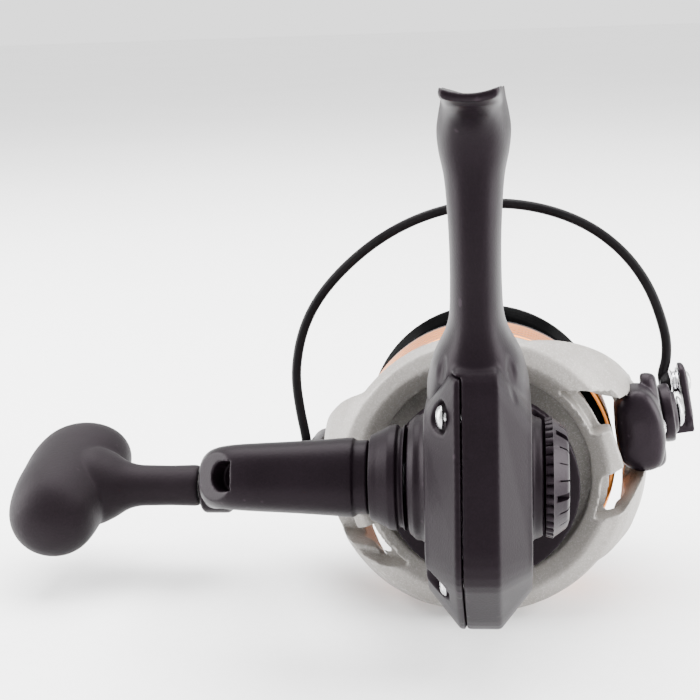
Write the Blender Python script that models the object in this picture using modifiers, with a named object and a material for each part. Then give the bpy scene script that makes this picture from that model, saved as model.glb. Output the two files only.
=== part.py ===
"""Spinning reel, 4000 size: an assembly of separate parts with real joints.

Units in the constants are millimetres; the helpers turn them into metres.
World frame: origin on the foot's saddle, where the rod lies; +Y towards the rod tip, +Z away
from the reel body on the foot side, -X the side of the handle.
Most parts are laid out from the shaft line: origin on the main shaft's axis in the plane of the
rotor's rear rim, +Y forwards along the shaft.
"""
import math

import bmesh
import bpy
from mathutils import Vector

MM = 0.001

# Driving dimensions (millimetres and degrees)
SHAFT_DROP = 81.0          # foot saddle to main shaft axis
RIM_FORWARD = 28.0         # foot saddle to the rotor's rear rim, along the shaft
FOOT_TILT = 3.6            # the foot leans this much from the shaft line
ROD_RADIUS = 12.0          # radius of the saddle
SADDLE_SIDES = 38
HANDLE_Y = -21.0           # drive axis, from the rim plane
HANDLE_Z = 7.8
CRANK_RADIUS = 50.0
CRANK_ANGLE = -20.2        # crank below the level, pointing forwards
KNOB_ANGLE = 38.2          # grip's bar, counted from the crank
ROTOR_REST = 8.0           # rotor arms at rest, counted from the level
BAIL_Y = 32.0              # bail pivots
BAIL_SWING = 105.0
ROLLER = (9.0, 4.2)        # line roller from the bail pivot: forwards, up
SEAM = -2.65               # joint between frame and side cover
BODY_HALF = 9.8
SPINE_HALF = 3.8
GAP = 0.3                  # clearance between neighbours
SHAFT_R = 2.5
DRIVE_R = 3.0
PINION_TEETH = 9
PINION_R = 4.1             # pitch radius
DRIVE_TEETH = 47
SMALL_TEETH = 12           # oscillation drive, on the drive shaft
LARGE_TEETH = 22
OSCILLATION = (-32.8, 5.0)  # oscillation gear axis: Y, Z
RETAINER_START = 1.50      # first retainer screw, radians from +X
PIN_CIRCLE = 5.6           # half the spool's stroke
SPOOL_LIP_R = 27.6
SKIRT_R = 28.4
RIM_R = 30.6
OPENING_R = 22.3

# Side outline of the housing (Y, Z): at the spine, and at the full width
SPINE_OUTLINE = ((-42.5, 34.5), (-50.0, -2.1), (-33.0, -18.6), (-24.0, -21.8),
                 (-9.0, -20.5), (-3.0, -14.0), (-3.0, 26.0), (-10.0, 34.5))
SIDE_OUTLINE = ((-36.5, 25.0), (-41.0, -3.0), (-30.0, -12.5), (-24.0, -14.0),
                (-11.0, -13.5), (-4.0, -9.0), (-4.0, 20.0), (-12.0, 25.0))
HOUSING_CENTRE = (-24.0, 6.0)
HOLLOW_SCALE = 0.92

COVER_SCREWS = {"upper_rear": (-40.5, 25.3), "lower_rear": (-38.8, -6.8),
                "upper_front": (-9.0, 25.5), "lower_front": (-9.5, -9.5)}

# name: (colour, metallic, roughness)
FINISHES = {
    "charcoal_paint": ((0.060, 0.052, 0.060), 0.0, 0.55),
    "soft_touch": ((0.045, 0.040, 0.045), 0.0, 0.75),
    "silver_paint": ((0.55, 0.54, 0.52), 0.6, 0.42),
    "gold_anodised": ((0.80, 0.42, 0.16), 0.9, 0.30),
    "black_anodised": ((0.012, 0.012, 0.014), 0.7, 0.35),
    "dark_plastic": ((0.07, 0.065, 0.075), 0.0, 0.45),
    "steel": ((0.62, 0.62, 0.62), 1.0, 0.28),
    "chrome": ((0.80, 0.80, 0.80), 1.0, 0.08),
    "brass": ((0.70, 0.52, 0.25), 1.0, 0.30),
    "zinc": ((0.45, 0.45, 0.46), 0.9, 0.45),
    "white_resin": ((0.70, 0.69, 0.64), 0.0, 0.50),
    "carbon": ((0.03, 0.03, 0.03), 0.0, 0.60),
}


# ---------------------------------------------------------------- helpers

def clear_scene():
    for old in list(bpy.data.objects):
        bpy.data.objects.remove(old, do_unlink=True)


def new_collection(name):
    group = bpy.data.collections.new(name)
    bpy.context.scene.collection.children.link(group)
    return group


def finish(name):
    material = bpy.data.materials.get(name)
    if material is None:
        colour, metallic, roughness = FINISHES[name]
        material = bpy.data.materials.new(name)
        material.use_nodes = True
        shader = material.node_tree.nodes["Principled BSDF"]
        shader.inputs["Base Color"].default_value = (*colour, 1.0)
        shader.inputs["Metallic"].default_value = metallic
        shader.inputs["Roughness"].default_value = roughness
    return material


def frame(name, parent, place=(0, 0, 0), turn=(0, 0, 0)):
    """An empty that carries a body: its origin lies on the body's axis."""
    empty = bpy.data.objects.new(name, None)
    empty.empty_display_size = 5 * MM
    empty.location = Vector(place) * MM
    empty.rotation_euler = [math.radians(angle) for angle in turn]
    empty.parent = parent
    PARTS.objects.link(empty)
    return empty


def add(name, mesh, parent, look):
    """A sub-part; one with no look is a cutter or a guide."""
    item = bpy.data.objects.new(name, mesh)
    item.parent = parent
    if look is None:
        GUIDES.objects.link(item)
        item.hide_render = True
        item.display_type = "WIRE"
    else:
        PARTS.objects.link(item)
        mesh.materials.append(finish(look))
    return item


def smooth(mesh, angle=35):
    mesh.shade_smooth()
    mesh.set_sharp_from_angle(angle=math.radians(angle))


AXIS_TURN = {"X": (0, math.pi / 2, 0), "Y": (-math.pi / 2, 0, 0), "Z": (0, 0, 0)}


def turned(name, parent, look, axis, profile, sides=40, centre=(0, 0, 0)):
    """A profile of (radius, station) turned about an axis. It runs down the outer side, from the
    highest station to the lowest. A profile that never meets the axis is closed into a ring."""
    mesh = bpy.data.meshes.new(name)
    points = [(radius * MM, 0, station * MM) for radius, station in profile]
    edges = [(i, i + 1) for i in range(len(points) - 1)]
    if profile[0][0] > 0:
        edges.append((len(points) - 1, 0))
    mesh.from_pydata(points, edges, [])
    item = add(name, mesh, parent, look)
    item.location = Vector(centre) * MM
    item.rotation_euler = AXIS_TURN[axis]
    screw = item.modifiers.new("Screw", "SCREW")
    screw.steps = sides
    screw.render_steps = sides
    screw.use_merge_vertices = True
    screw.merge_threshold = 0.00001
    screw.use_smooth_shade = True
    return item


def rod(name, parent, look, axis, radius, low, high, centre=(0, 0, 0), sides=24):
    return turned(name, parent, look, axis, [(0, high), (radius, high), (radius, low), (0, low)],
                  sides, centre)


def ring(name, parent, look, axis, outer, inner, low, high, centre=(0, 0, 0), sides=24):
    return turned(name, parent, look, axis,
                  [(outer, high), (outer, low), (inner, low), (inner, high)], sides, centre)


def block(name, parent, look, low, high):
    mesh = bpy.data.meshes.new(name)
    work = bmesh.new()
    bmesh.ops.create_cube(work, size=1.0)
    for vert in work.verts:
        for k in range(3):
            vert.co[k] = (low[k] if vert.co[k] < 0 else high[k]) * MM
    work.to_mesh(mesh)
    work.free()
    return add(name, mesh, parent, look)


def loft(name, parent, look, rings, closed=False):
    """A skin through rings of equal counts of points: capped at both ends, or closed round."""
    work = bmesh.new()
    rows = [[work.verts.new(Vector(point) * MM) for point in row] for row in rings]
    count = len(rows[0])
    if closed:
        rows.append(rows[0])
    for lower, upper in zip(rows, rows[1:]):
        for i in range(count):
            j = (i + 1) % count
            work.faces.new((lower[i], lower[j], upper[j], upper[i]))
    if not closed:
        work.faces.new(rows[0])
        work.faces.new(rows[-1])
    bmesh.ops.recalc_face_normals(work, faces=work.faces)
    bmesh.ops.triangulate(work, faces=work.faces)
    mesh = bpy.data.meshes.new(name)
    work.to_mesh(mesh)
    work.free()
    smooth(mesh)
    return add(name, mesh, parent, look)


def curve_mesh(name, curve):
    carrier = bpy.data.objects.new(name + "_outline", curve)
    PARTS.objects.link(carrier)
    bpy.context.view_layer.update()
    solid = carrier.evaluated_get(bpy.context.evaluated_depsgraph_get())
    mesh = bpy.data.meshes.new_from_object(solid)
    mesh.name = name
    bpy.data.objects.remove(carrier)
    return mesh


def swept(name, parent, look, path, radius):
    """A round wire along a path of points."""
    curve = bpy.data.curves.new(name, "CURVE")
    curve.dimensions = "3D"
    curve.bevel_depth = radius * MM
    curve.bevel_resolution = 2
    curve.use_fill_caps = True
    spline = curve.splines.new("POLY")
    spline.points.add(len(path) - 1)
    for point, place in zip(spline.points, path):
        point.co = (*(Vector(place) * MM), 1)
    return add(name, curve_mesh(name, curve), parent, look)


def merged(name, pieces):
    """Several cutters that don't touch, as the meshes of one."""
    work = bmesh.new()
    for piece in pieces:
        piece.data.transform(piece.matrix_basis)
        work.from_mesh(piece.data)
    mesh = bpy.data.meshes.new(name)
    work.to_mesh(mesh)
    work.free()
    parent = pieces[0].parent
    for piece in pieces:
        bpy.data.objects.remove(piece)
    return add(name, mesh, parent, None)


def rounded(item, radius):
    bevel = item.modifiers.new("Bevel", "BEVEL")
    bevel.width = radius * MM
    bevel.segments = 2
    return item


def plate(name, parent, look, outline, axis, low, high):
    """A flat outline with a thickness. On axis X the outline is (Y, Z); on Y it is (X, Z)."""
    rings = [[(w, u, v) if axis == "X" else (u, w, v) for u, v in outline] for w in (low, high)]
    return loft(name, parent, look, rings)


def combine(target, operation, others):
    for other in others:
        other.hide_render = True
        other.display_type = "WIRE"
        modifier = target.modifiers.new(other.name, "BOOLEAN")
        modifier.operation = operation
        modifier.solver = "EXACT"
        modifier.object = other


def unite(target, *others):
    combine(target, "UNION", others)


def cut(target, *others):
    combine(target, "DIFFERENCE", others)


def fluted(name, parent, look, axis, flutes, stations):
    """A turned body whose rim has flutes. Each station is (place, crest radius, flute depth)."""
    rings = []
    for place, crest, depth in stations:
        row = []
        for i, a in enumerate(circle_points(4 * flutes)):
            r = crest - (depth if i % 4 in (2, 3) else 0)
            u, v = r * math.cos(a), r * math.sin(a)
            row.append((place, u, v) if axis == "X" else (v, place, u))
        rings.append(row)
    return loft(name, parent, look, rings)


def circle_points(count, start=0.0):
    return [start + 2 * math.pi * i / count for i in range(count)]


def arc(centre, radius, first, last, count):
    """Points on an arc, angles in degrees."""
    angles = [math.radians(first + (last - first) * i / (count - 1)) for i in range(count)]
    return [(centre[0] + radius * math.cos(a), centre[1] + radius * math.sin(a)) for a in angles]


def superellipse(half_u, half_v, power, count):
    points = []
    for a in circle_points(count):
        c, s = math.cos(a), math.sin(a)
        u = half_u * math.copysign(abs(c) ** (2 / power), c)
        v = half_v * math.copysign(abs(s) ** (2 / power), s)
        points.append((u, v))
    return points


def gear_outline(teeth, pitch_r, tooth_at=0.0, land=0.40):
    """Straight-flanked spur teeth, one of them centred on the angle tooth_at (radians)."""
    module = 2 * pitch_r / teeth
    tip, root = pitch_r + 0.80 * module, pitch_r - 1.05 * module
    step = 2 * math.pi / teeth
    points = []
    for i in range(teeth):
        middle = tooth_at + i * step
        for radius, offset in ((root, -0.36), (tip, 0.06 - land / 2), (tip, land / 2 - 0.06),
                               (root, 0.36)):
            a = middle + offset * step
            points.append((radius * math.cos(a), radius * math.sin(a)))
    return points


def screw_part(name, parent, axis, head_r, head, shank_r, tip, centre, look="steel"):
    """A pan-head screw: the head spans head[0]..head[1], the shank runs on to tip."""
    low, high = head
    if tip < low:
        profile = [(0, high), (head_r * 0.8, high), (head_r, high - 0.3), (head_r, low),
                   (shank_r, low), (shank_r, tip), (0, tip)]
    else:
        profile = [(0, tip), (shank_r, tip), (shank_r, high), (head_r, high), (head_r, low + 0.3),
                   (head_r * 0.8, low), (0, low)]
    return turned(name, parent, look, axis, profile, 10, centre)


# ---------------------------------------------------------------- housing and foot

def housing_rings(half_spine, half_side, scale=1.0):
    def scaled(outline):
        cy, cz = HOUSING_CENTRE
        return [(cy + (y - cy) * scale, cz + (z - cz) * scale) for y, z in outline]
    stations = ((-half_side, SIDE_OUTLINE), (-half_spine, SPINE_OUTLINE),
                (half_spine, SPINE_OUTLINE), (half_side, SIDE_OUTLINE))
    return [[(x, y, z) for y, z in scaled(outline)] for x, outline in stations]


def stem_rings():
    # height, centre (Y), half width (X), half depth (Y)
    stations = ((33.3, -26.0, 8.7, 14.6), (35.5, -26.6, 7.3, 13.4), (38.0, -27.8, 6.0, 11.8),
                (41.5, -29.0, 5.0, 10.4), (47.0, -30.0, 4.7, 9.4), (54.0, -30.8, 4.65, 8.9),
                (61.0, -31.0, 4.9, 8.9), (67.0, -30.4, 5.4, 9.6), (71.5, -29.6, 6.4, 11.0),
                (75.0, -28.8, 6.7, 13.4), (77.8, -28.2, 6.2, 16.0))
    return [[(u, centre + v, height) for u, v in superellipse(half_x, half_y, 2.3, 24)]
            for height, centre, half_x, half_y in stations]


def saddle_depth(half_width):
    return ROD_RADIUS - math.sqrt(ROD_RADIUS ** 2 - half_width ** 2)


def foot_rings():
    # station, half width, thickness
    stations = ((-32.0, 4.4, 1.2), (-31.0, 4.8, 1.4), (-28.5, 5.0, 1.6), (-20.0, 5.1, 2.2),
                (-12.0, 5.3, 3.6), (0.0, 5.4, 5.0), (12.0, 5.3, 3.4), (20.0, 5.1, 2.2),
                (28.5, 4.8, 1.5), (31.0, 4.4, 1.3), (32.0, 3.7, 1.1))
    rings = []
    for y, half, thick in stations:
        top = saddle_depth(half) + 0.15
        row = [(half, y, top)]
        for a in [math.radians(180 * i / 8) for i in range(9)]:
            row.append((half * math.cos(a), y, top - 0.8 - (thick + top - 0.8) * math.sin(a)))
        row.append((-half, y, top))
        rings.append(row)
    return rings


def build_frame(shaft, drive, foot):
    body = loft("body_frame", shaft, "charcoal_paint", housing_rings(SPINE_HALF, BODY_HALF))
    cut(body, loft("hollow", shaft, None, housing_rings(SPINE_HALF, BODY_HALF - 1.6, HOLLOW_SCALE)))
    for place, (y, z) in COVER_SCREWS.items():
        unite(body, rod("post_" + place, shaft, None, "X", 2.6, -7.0, 7.8, (0, y, z), 10))
    cut(body, block("cover_room", shaft, None, (-14, -60, -30), (SEAM + GAP / 2, -3.9, 33)))
    unite(body, loft("stem", shaft, None, stem_rings()), loft("foot", foot, None, foot_rings()),
          rod("right_boss", drive, None, "X", 11.8, 8.0, 12.0, sides=32),
          rod("front_flange", shaft, None, "Y", 20.0, -4.3, -0.9, sides=36),
          rod("nose", shaft, None, "Y", 13.4, -2.0, 9.0, sides=32))
    for place, (y, z) in COVER_SCREWS.items():
        cut(body, rod("post_hole_" + place, shaft, None, "X", 1.25, -5, 3.5, (0, y, z), 8))
    cut(body, turned("front_seat", shaft, None, "Y",
                     [(0, 12), (10.8, 12), (10.8, 0.6), (7.3, 0.6), (7.3, -9), (0, -9)], 28),
        turned("right_seat", drive, None, "X",
               [(0, 14), (5.0, 14), (5.0, 11), (6.7, 11), (6.7, 5), (0, 5)], 28))
    for i, a in enumerate(circle_points(3, RETAINER_START)):
        spot = (12.1 * math.cos(a), 0, 12.1 * math.sin(a))
        cut(body, rod(f"nose_hole_{i}", shaft, None, "Y", 0.95, 4.5, 12, spot, 10))
    # the blank's lowest facet is the saddle's flat floor, through the world origin
    floor = ROD_RADIUS * math.cos(math.pi / SADDLE_SIDES)
    cut(body, rod("rod_blank", foot, None, "Y", ROD_RADIUS, -50, 50, (0, 0, floor), SADDLE_SIDES))


def build_cover(shaft, drive):
    cover = loft("side_cover", shaft, "charcoal_paint", housing_rings(SPINE_HALF, BODY_HALF))
    cut(cover, loft("cover_hollow", shaft, None,
                    housing_rings(SPINE_HALF, BODY_HALF - 1.6, HOLLOW_SCALE)))
    unite(cover, rod("left_boss", drive, None, "X", 12.6, -13.5, -7.6, sides=32))
    axle_y, axle_z = OSCILLATION
    unite(cover, rod("axle_post", shaft, None, "X", 3.2, -9.2, -7.6, (0, axle_y, axle_z), 16))
    for place, (y, z) in COVER_SCREWS.items():
        unite(cover, rod("seat_" + place, shaft, None, "X", 3.0, -8.4, 0.0, (0, y, z), 10))
    cut(cover, block("frame_room", shaft, None, (SEAM - GAP / 2, -60, -30), (14, 5, 45)),
        block("shoulder_room", shaft, None, (-14, -60, 32.7), (0, 5, 45)),
        block("flange_room", shaft, None, (-14, -4.9, -30), (14, 5, 45)),
        turned("left_seat", drive, None, "X",
               [(0, -5), (6.7, -5), (6.7, -11.5), (4.6, -11.5), (4.6, -15), (0, -15)], 28))
    for place, (y, z) in COVER_SCREWS.items():
        cut(cover, turned("pocket_" + place, shaft, None, "X",
                          [(0, 0), (1.3, 0), (1.3, -5.6), (2.5, -5.6), (2.5, -14), (0, -14)],
                          12, (0, y, z)))
        screw_part(f"cover_screw_{place}", shaft, "X", 2.1, (-7.2, -5.9), 0.95, 3.0, (0, y, z))
    cut(cover, rod("axle_hole", shaft, None, "X", 1.7, -9.0, -4, (0, axle_y, axle_z), 12))


def build_right_cap(drive):
    cap = fluted("shaft_cap", drive, "dark_plastic", "X", 12,
                 [(12.3, 11.6, 0.7), (13.8, 11.6, 0.7), (13.9, 10.9, 0),
                  (16.2, 9.8, 0), (16.8, 8.6, 0)])
    unite(cap, rod("spigot", drive, None, "X", 4.6, 11.3, 13.0, sides=24))
    slots = []
    for i, a in enumerate(circle_points(10, math.pi / 10)):
        reach = 7.5 if i % 2 else 6.1
        slot = block(f"slot_{i}", drive, None, (15.6, -0.75, reach), (18.0, 0.75, 12.5))
        slot.rotation_euler.x = a
        slots.append(slot)
    cut(cap, merged("face_slots", slots))


def build_fixed_insides(shaft, drive):
    ring("drive_bearing_left", drive, "steel", "X", 6.4, 3.3, -11.2, -7.8)
    ring("drive_bearing_right", drive, "steel", "X", 6.4, 3.3, 7.9, 10.7)
    ring("pinion_bearing", shaft, "steel", "Y", 7.0, 4.3, -3.4, 0.3)
    ring("anti_reverse_clutch", shaft, "steel", "Y", 10.5, 5.3, 0.9, 8.4)
    retainer = ring("clutch_retainer", shaft, "zinc", "Y", 13.2, 5.6, 9.3, 10.1)
    for i, a in enumerate(circle_points(3, RETAINER_START)):
        spot = (12.1 * math.cos(a), 0, 12.1 * math.sin(a))
        cut(retainer, rod(f"retainer_hole_{i}", shaft, None, "Y", 0.95, 8, 12, spot, 10))
        screw_part(f"retainer_screw_{i + 1}", shaft, "Y", 1.1, (10.4, 11.0), 0.6, 5.0, spot)
    rod("slider_guide_rod", shaft, "steel", "Y", 1.0, -44.0, -25.2, (2.4, 0, 6.3), 12)
    axle_y, axle_z = OSCILLATION
    rod("oscillation_axle", shaft, "steel", "X", 1.4, -8.7, -4.95, (0, axle_y, axle_z), 12)


# ---------------------------------------------------------------- handle side

def build_drive_train(drive):
    """The face gear: a toothed rim whose crests point at the pinion, on a thin web."""
    rows = []
    for i in range(2 * DRIVE_TEETH):
        a = math.pi * i / DRIVE_TEETH
        front = 5.85 if i % 2 else 5.2
        section = ((front, 9.4), (front, 13.2), (7.6, 13.2), (7.6, 3.3), (6.3, 3.3), (6.3, 9.4))
        rows.append([(x, r * math.cos(a), r * math.sin(a)) for x, r in section])
    loft("drive_gear", drive, "zinc", rows, closed=True)
    shaft = rod("drive_shaft", drive, "steel", "X", DRIVE_R, -13.9, 10.9, sides=24)
    cut(shaft, rod("stud_hole", drive, None, "X", 2.2, -15, -6.0, sides=16))


def build_handle(drive, crank):
    turned("handle_collar", drive, "charcoal_paint", "X",
           [(10.4, -14.2), (9.7, -15.0), (10.2, -15.6), (10.0, -17.0), (8.2, -21.0), (3.3, -21.0),
            (3.3, -14.2)], 32)
    # x, y, heading from -X towards +Y, half thickness, half height
    stations = ((-21.3, 0.0, 0, 7.3, 7.3), (-24.2, 0.0, 0, 7.3, 7.3), (-24.5, 0.0, 0, 7.9, 7.9),
                (-36.0, 0.0, 0, 7.4, 7.4), (-44.5, 0.0, 0, 6.9, 6.9), (-48.9, 0.6, 25, 6.1, 6.4),
                (-51.2, 3.6, 55, 5.0, 6.0), (-52.6, 9.0, 78, 4.1, 5.7), (-54.4, 18.0, 81, 3.7, 5.6),
                (-57.2, 32.0, 80, 3.5, 5.5), (-60.6, 46.0, 79, 3.3, 5.5))
    rings = []
    for x, y, heading, half_thick, half_high in stations:
        c, s = math.cos(math.radians(heading)), math.sin(math.radians(heading))
        rings.append([(x + u * s, y + u * c, v)
                      for u, v in superellipse(half_thick, half_high, 2.2, 24)])
    arm = loft("handle_arm", crank, "charcoal_paint", rings)
    unite(arm, rod("knob_boss", crank, None, "X", 6.2, -64.6, -57.8, (0, CRANK_RADIUS, 0), 32),
          rod("stud", crank, None, "X", 1.9, -22.0, -7.0, sides=12))
    cut(arm, rod("spindle_hole", crank, None, "X", 2.3, -70, -50, (0, CRANK_RADIUS, 0), 16))
    turned("knob_spindle", crank, "steel", "X",
           [(0, -57.0), (3.0, -57.0), (3.0, -57.5), (2.0, -57.5), (2.0, -91.0), (0, -91.0)],
           16, (0, CRANK_RADIUS, 0))


def build_knob(knob):
    grip = turned("knob_grip", knob, "soft_touch", "X",
                  [(0, -65.0), (4.8, -65.0), (4.75, -79.5), (5.5, -82.3), (7.6, -85.2), (9.3, -89.0),
                   (9.3, -93.0), (0, -93.0)], 24)
    # station along the bar, radius
    stations = ((-19.6, 2.4), (-19.0, 4.6), (-17.2, 7.2), (-14.0, 9.4), (-10.0, 10.5), (-5.0, 10.6),
                (0.0, 10.0), (5.0, 9.7), (9.0, 9.5), (13.0, 8.8), (16.2, 6.9), (18.0, 4.6), (18.7, 2.4))
    rings = [[(-95.6 - 0.07 * y + r * math.cos(a), y, r * math.sin(a)) for a in circle_points(20)]
             for y, r in stations]
    unite(grip, loft("grip_bar", knob, None, rings))
    cut(grip, rod("bore", knob, None, "X", 3.3, -93.0, -60.0, sides=16))
    ring("knob_bush_inner", knob, "white_resin", "X", 3.0, 2.3, -70.0, -65.3, sides=16)
    ring("knob_bush_outer", knob, "white_resin", "X", 3.0, 2.3, -90.0, -85.5, sides=16)


def build_oscillation(drive, idler, slider):
    axle_y, axle_z = OSCILLATION
    away = math.hypot(axle_y - HANDLE_Y, axle_z - HANDLE_Z)
    small_r = away * SMALL_TEETH / (SMALL_TEETH + LARGE_TEETH)
    large_r = away - small_r
    towards = math.atan2(axle_z - HANDLE_Z, axle_y - HANDLE_Y)
    pinion = plate("oscillation_pinion", drive, "brass",
                   gear_outline(SMALL_TEETH, small_r, towards), "X", -7.3, -5.2)
    cut(pinion, rod("pinion_bore", drive, None, "X", 3.3, -9, -3, sides=16))
    half_tooth = math.pi / LARGE_TEETH
    gear = plate("oscillation_gear", idler, "white_resin",
                 gear_outline(LARGE_TEETH, large_r, towards + math.pi + half_tooth), "X", -6.7, -5.4)
    cut(gear, rod("idler_bore", idler, None, "X", 1.75, -9, -3, sides=16))
    unite(gear, rod("crank_pin", idler, None, "X", 1.2, -6.4, -4.95, (0, 0, PIN_CIRCLE), 12))
    rear, front = axle_y - 2.7, axle_y + 2.7
    body = block("oscillation_slider", slider, "zinc", (-4.3, rear, -3.5), (4.6, front, 8.6))
    cut(body, block("slot", slider, None, (-8, axle_y - 1.5, 3.6), (-2.5, axle_y + 1.5, 14)),
        rod("shaft_bore", slider, None, "Y", SHAFT_R + GAP, -50, -20, sides=24),
        rod("guide_bore", slider, None, "Y", 1.3, -50, -20, (2.4, 0, 6.3), 12),
        rod("lock_bore", slider, None, "Z", 0.95, 1.5, 12, (0, axle_y, 0), 9))
    unite(body, block("fork", slider, None, (-4.3, rear, 7.0), (-3.0, axle_y - 1.5, 12.6)),
          block("fork_front", slider, None, (-4.3, axle_y + 1.5, 7.0), (-3.0, front, 12.6)))
    screw_part("slider_screw", slider, "Z", 1.5, (8.9, 9.8), 0.65, 3.0, (0, axle_y, 0))


def build_shaft(slider):
    rod("main_shaft", slider, "steel", "Y", SHAFT_R, -37.2, 62.0, sides=24)
    ring("spool_washer", slider, "steel", "Y", 5.2, 2.8, 26.9, 27.9, sides=24)
    for i, low in enumerate((39.4, 41.8)):
        ring(f"drag_plate_{i + 1}", slider, "steel", "Y", 12.8, 2.8, low, low + 0.8)


# ---------------------------------------------------------------- rotor

def build_pinion(rotor):
    pinion = plate("pinion_gear", rotor, "brass", gear_outline(PINION_TEETH, PINION_R), "Y",
                   -17.5, -7.6)
    unite(pinion, rod("pinion_sleeve", rotor, None, "Y", 4.0, -8.2, 20.0, sides=24))
    cut(pinion, rod("pinion_bore_y", rotor, None, "Y", SHAFT_R + GAP, -20, 25, sides=24))
    ring("clutch_sleeve", rotor, "steel", "Y", 5.0, 4.3, 0.7, 11.2)


def arm_station(s):
    """Outer face of a rotor arm at s from the rim (0) to the tip (1): Y, radius, and how far it
    reaches round ahead of its middle and behind it, in degrees."""
    knots = ((0.0, 1.4, 29.0, 74.0, 50.0), (0.14, 4.0, 30.4, 63.0, 46.0),
             (0.30, 9.0, 32.2, 48.0, 40.0), (0.46, 14.5, 33.4, 37.0, 34.0),
             (0.60, 19.2, 34.2, 30.0, 28.5), (0.72, 24.0, 34.7, 24.5, 23.5),
             (0.86, 31.0, 35.2, 19.0, 18.5), (1.0, 38.5, 35.4, 15.0, 14.5))
    for (s0, *first), (s1, *second) in zip(knots, knots[1:]):
        if s <= s1:
            w = (s - s0) / (s1 - s0)
            return [p + (q - p) * w for p, q in zip(first, second)]
    return knots[-1][1:]


ARM_COLUMNS = (-1.0, -0.82, -0.62, -0.14, 0.14, 0.62, 0.82, 1.0)
ARM_ROWS = (0.0, 0.14, 0.22, 0.34, 0.46, 0.60, 0.72, 0.86, 1.0)


def arm_shell(name, rotor, side):
    """An open arm: two legs from the rim to the tip, with a short web between two windows."""
    work = bmesh.new()
    rows = []
    for s in ARM_ROWS:
        y, radius, ahead, behind = arm_station(s)
        row = []
        for t in ARM_COLUMNS:
            a = math.radians(t * (ahead if t > 0 else behind))
            row.append(work.verts.new((side * radius * math.cos(a) * MM, y * MM,
                                       side * radius * math.sin(a) * MM)))
        rows.append(row)
    for i in range(len(ARM_ROWS) - 1):
        middle_s = (ARM_ROWS[i] + ARM_ROWS[i + 1]) / 2
        for j in range(len(ARM_COLUMNS) - 1):
            middle_t = abs(ARM_COLUMNS[j] + ARM_COLUMNS[j + 1]) / 2
            window = 0.18 < middle_s < 0.60 and 0.14 < middle_t < 0.62
            if window or (middle_t < 0.14 and 0.46 < middle_s < 0.60):
                continue
            work.faces.new((rows[i][j], rows[i + 1][j], rows[i + 1][j + 1], rows[i][j + 1]))
    mesh = bpy.data.meshes.new(name)
    work.to_mesh(mesh)
    work.free()
    shell = add(name, mesh, rotor, None)
    solid = shell.modifiers.new("Solidify", "SOLIDIFY")
    solid.thickness = 2.3 * MM
    solid.offset = -1
    solid.use_even_offset = True
    shell.modifiers.new("Triangulate", "TRIANGULATE")
    return shell


def build_rotor(rotor):
    body = turned("rotor", rotor, "silver_paint", "Y",
                  [(25.8, 14.8), (25.8, 6.5), (29.6, 6.2), (RIM_R, 4.4), (RIM_R - 1.2, 1.4), (26, 0),
                   (OPENING_R, 0.0), (OPENING_R, 1.6), (23.8, 3.4), (23.8, 11.9), (4.3, 11.9),
                   (4.3, 15.4), (7.6, 15.4), (8.4, 14.0), (24.2, 14.0), (24.9, 14.8)], 44)
    for side, word in ((1, "right"), (-1, "left")):
        unite(body, arm_shell("arm_" + word, rotor, side))
        low, high = (31.2, 35.0) if side > 0 else (-35.0, -31.2)
        unite(body, rod("boss_" + word, rotor, None, "X", 7.6, low, high, (0, BAIL_Y, 0), 26))
        cut(body, rod("pivot_hole_" + word, rotor, None, "X", 1.6, side * 35.0 - 6, side * 35.0 + 6,
                      (0, BAIL_Y, 0), 12),
            rod("cover_hole_" + word, rotor, None, "X", 1.2, side * 36.9 - 4, side * 36.9 + 4,
                (0, 21.5, 0), 10))
    return body


def hexagon(radius, start=0.0):
    return [(radius * math.cos(a), radius * math.sin(a)) for a in circle_points(6, start)]


def build_rotor_fittings(rotor):
    nut = plate("rotor_nut", rotor, "brass", hexagon(6.6), "Y", 15.7, 18.9)
    cut(nut, rod("nut_bore", rotor, None, "Y", 4.3, 14, 22, sides=24))
    for side, word in ((1, "right"), (-1, "left")):
        outline = arc((24.6, 0), 8.8, 112, 248, 9) + arc((34.5, 0), 6.8, -68, 68, 9)
        low, high = (35.9, 39.4) if side > 0 else (-39.4, -35.9)
        cover = plate("arm_cover_" + word, rotor, "dark_plastic", outline, "X", low, high)
        lip = (30.6, 36.6) if side > 0 else (-36.6, -30.6)
        unite(cover, block("lip_" + word, rotor, None, (lip[0], 16.1, -7.1), (lip[1], 19.0, 7.1)))
        cut(cover, rod("cover_pivot_" + word, rotor, None, "X", 2.0, low - 3, high + 3,
                       (0, BAIL_Y, 0), 16),
            rod("cover_screw_hole_" + word, rotor, None, "X", 1.2, low - 3, high + 3, (0, 21.5, 0), 12))
        sink = (38.0, 42) if side > 0 else (-42, -38.0)
        cut(cover, rod("cover_sink_" + word, rotor, None, "X", 2.4, *sink, (0, 21.5, 0), 16))
        head = (38.3, 39.5) if side > 0 else (-39.5, -38.3)
        screw_part("arm_cover_screw_" + word, rotor, "X", 2.0, head, 0.9, side * 33.2, (0, 21.5, 0))
        pivot = (43.6, 44.8) if side > 0 else (-44.8, -43.6)
        screw_part("bail_pivot_screw_" + word, rotor, "X", 3.2, pivot, 1.3, side * 31.6, (0, BAIL_Y, 0))


# ---------------------------------------------------------------- bail

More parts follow.
